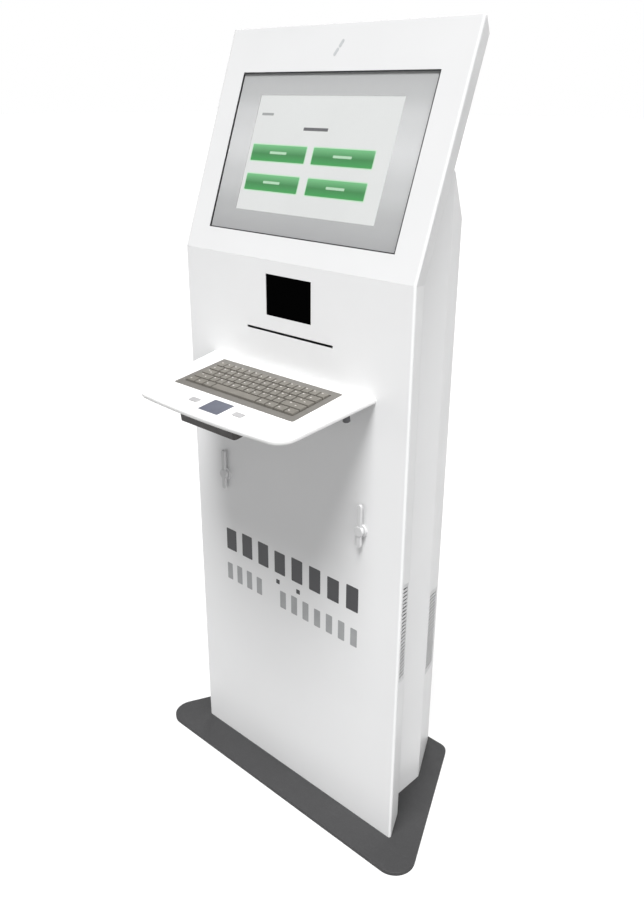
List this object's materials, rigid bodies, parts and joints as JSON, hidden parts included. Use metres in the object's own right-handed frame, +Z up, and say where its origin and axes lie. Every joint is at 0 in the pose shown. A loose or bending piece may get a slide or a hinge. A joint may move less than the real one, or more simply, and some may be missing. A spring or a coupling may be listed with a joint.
{
  "type": "self-service kiosk terminal",
  "caption": "Free-standing self-service terminal: bent sheet-metal column on a floor plate, leaning touch-screen head, dark reader window, paper slot and sloping keyboard shelf.",
  "frame": {"origin": "on the underside of the floor plate, in the symmetry plane, directly below the outer face of the column's front", "axes": "+Z up, the front faces -Y, X is across and X = 0 is the symmetry plane"},
  "size_m": [0.712, 0.5143, 1.5175],
  "materials": {
    "white_steel": "fine satin powder coat",
    "white_head": "fine satin powder coat",
    "charcoal_plate": "textured powder coat",
    "zinc_steel": "zinc-plated sheet",
    "dark_steel": "satin black paint",
    "louvre_grey": "moulded, fine grain",
    "black_plastic": "moulded, fine grain",
    "black_glass": "polished dark acrylic",
    "clear_glass": "polished, anti-reflection",
    "silver_bezel": "satin silver",
    "lcd": "lit display",
    "key_grey": "moulded, worn smooth",
    "tray_grey": "moulded, fine grain",
    "pad_grey": "fine-textured film",
    "button_grey": "moulded",
    "shelf_white": "moulded, satin gloss",
    "shelf_dark": "moulded, fine grain",
    "polished_steel": "ground shaft",
    "nitrile": "ground roller rubber",
    "paper_white": "smooth coated paper",
    "lock_metal": "polished",
    "cast_metal": "die cast, bead blasted"
  },
  "bodies": {
    "root": {"base_plate": "charcoal_plate", "floor_frame": "zinc_steel", "base_bolts": "zinc_steel", "column_front": "white_steel", "head_shell": "white_head", "side_panel_left": "white_steel", "side_panel_right": "white_steel", "roof_panel": "white_steel", "head_back_cover": "white_steel", "rear_kick_plate": "white_steel", "front_vents": "louvre_grey", "rear_vents": "louvre_grey", "frame_hinge_leaves": "zinc_steel", "hinge_pins": "polished_steel", "power_inlet": "black_plastic", "display_gasket": "black_plastic", "touch_glass": "clear_glass", "display_bezel": "silver_bezel", "lcd_panel": "lcd", "display_housing": "dark_steel", "display_brackets": "zinc_steel", "reader_window": "black_glass", "reader_bezel": "black_plastic", "reader_module": "black_plastic", "paper_chute": "black_plastic", "printer_chassis": "zinc_steel", "print_head": "cast_metal", "roll_brackets": "zinc_steel", "printer_shelf": "zinc_steel", "lower_shelf": "zinc_steel", "mini_pc": "dark_steel", "power_supply": "cast_metal", "fan_frame": "black_plastic", "shelf_top": "shelf_white", "shelf_housing": "shelf_dark", "shelf_brackets": "dark_steel", "keyboard_tray": "tray_grey", "touchpad": "pad_grey", "latch_bosses": "white_steel"},
    "door": {"rear_door": "white_steel", "door_hinge_leaves": "zinc_steel", "lock_body": "lock_metal"},
    "lock": {"lock_cam": "lock_metal"},
    "fan": {"fan_rotor": "black_plastic"},
    "feed": {"feed_roller": "nitrile", "feed_shaft": "polished_steel"},
    "pinch": {"pinch_roller": "polished_steel"},
    "paper": {"paper_roll": "paper_white", "roll_spindle": "black_plastic"},
    "switch": {"power_switch": "black_plastic"},
    "latch_left": {"latch_lever_left": "white_steel"},
    "latch_right": {"latch_lever_right": "white_steel"},
    "space": {"space_bar": "key_grey"},
    "pad_button_left": {"touchpad_button_left": "button_grey"},
    "pad_button_right": {"touchpad_button_right": "button_grey"},
    "keys_1": {"key_row_1": "key_grey"},
    "keys_2": {"key_row_2": "key_grey"},
    "keys_3": {"key_row_3": "key_grey"},
    "keys_4": {"key_row_4": "key_grey"},
    "keys_5": {"key_row_5": "key_grey"}
  },
  "joints": [
    {"name": "rear_door_swing", "type": "hinge", "parent": "root", "child": "door", "pos_m": [0.13525, 0.298, 0.653], "axis": [0, 0, -1], "range_deg": [0, 110]},
    {"name": "rear_lock_turn", "type": "hinge", "parent": "door", "child": "lock", "pos_m": [-0.112, 0.285, 0.655], "axis": [0, 1, 0], "range_deg": [0, 90]},
    {"name": "latch_left_turn", "type": "hinge", "parent": "root", "child": "latch_left", "pos_m": [-0.185, 0, 0.677], "axis": [0, -1, 0], "range_deg": [0, 90]},
    {"name": "latch_right_turn", "type": "hinge", "parent": "root", "child": "latch_right", "pos_m": [0.185, 0, 0.677], "axis": [0, 1, 0], "range_deg": [0, 90]},
    {"name": "fan_spin", "type": "hinge", "parent": "root", "child": "fan", "pos_m": [0, 0.215, 1.25929], "axis": [0, 0.6252, 0.7804], "continuous": true},
    {"name": "paper_feed", "type": "hinge", "parent": "root", "child": "feed", "pos_m": [0, 0.04, 0.9927], "axis": [1, 0, 0], "continuous": true},
    {"name": "pinch_spin", "type": "hinge", "parent": "root", "child": "pinch", "pos_m": [0, 0.04, 1.00985], "axis": [1, 0, 0], "continuous": true},
    {"name": "paper_roll_spin", "type": "hinge", "parent": "root", "child": "paper", "pos_m": [0, 0.15, 0.996], "axis": [1, 0, 0], "continuous": true},
    {"name": "power_switch_rock", "type": "hinge", "parent": "root", "child": "switch", "pos_m": [0.077, 0.29, 0.07], "axis": [1, 0, 0], "range_deg": [-16, 0]},
    {"name": "keys_1_press", "type": "slide", "parent": "root", "child": "keys_1", "axis": [0, -0.1392, 0.9903], "range_m": [-0.0025, 0], "stiffness_N_per_m": 400, "springref_m": 0.003},
    {"name": "keys_2_press", "type": "slide", "parent": "root", "child": "keys_2", "axis": [0, -0.1392, 0.9903], "range_m": [-0.0025, 0], "stiffness_N_per_m": 400, "springref_m": 0.003},
    {"name": "keys_3_press", "type": "slide", "parent": "root", "child": "keys_3", "axis": [0, -0.1392, 0.9903], "range_m": [-0.0025, 0], "stiffness_N_per_m": 400, "springref_m": 0.003},
    {"name": "keys_4_press", "type": "slide", "parent": "root", "child": "keys_4", "axis": [0, -0.1392, 0.9903], "range_m": [-0.0025, 0], "stiffness_N_per_m": 400, "springref_m": 0.003},
    {"name": "keys_5_press", "type": "slide", "parent": "root", "child": "keys_5", "axis": [0, -0.1392, 0.9903], "range_m": [-0.0025, 0], "stiffness_N_per_m": 400, "springref_m": 0.003},
    {"name": "space_press", "type": "slide", "parent": "root", "child": "space", "axis": [0, -0.1392, 0.9903], "range_m": [-0.0025, 0], "stiffness_N_per_m": 300, "springref_m": 0.002},
    {"name": "pad_button_left_press", "type": "slide", "parent": "root", "child": "pad_button_left", "axis": [0, -0.1392, 0.9903], "range_m": [-0.0008, 0], "stiffness_N_per_m": 300, "springref_m": 0.0015},
    {"name": "pad_button_right_press", "type": "slide", "parent": "root", "child": "pad_button_right", "axis": [0, -0.1392, 0.9903], "range_m": [-0.0008, 0], "stiffness_N_per_m": 300, "springref_m": 0.0015}
  ],
  "couplings": [
    {"joint": "pinch_spin", "follows": "paper_feed", "ratio": -1.4071},
    {"joint": "paper_roll_spin", "follows": "paper_feed", "ratio": 0.18942}
  ]
}
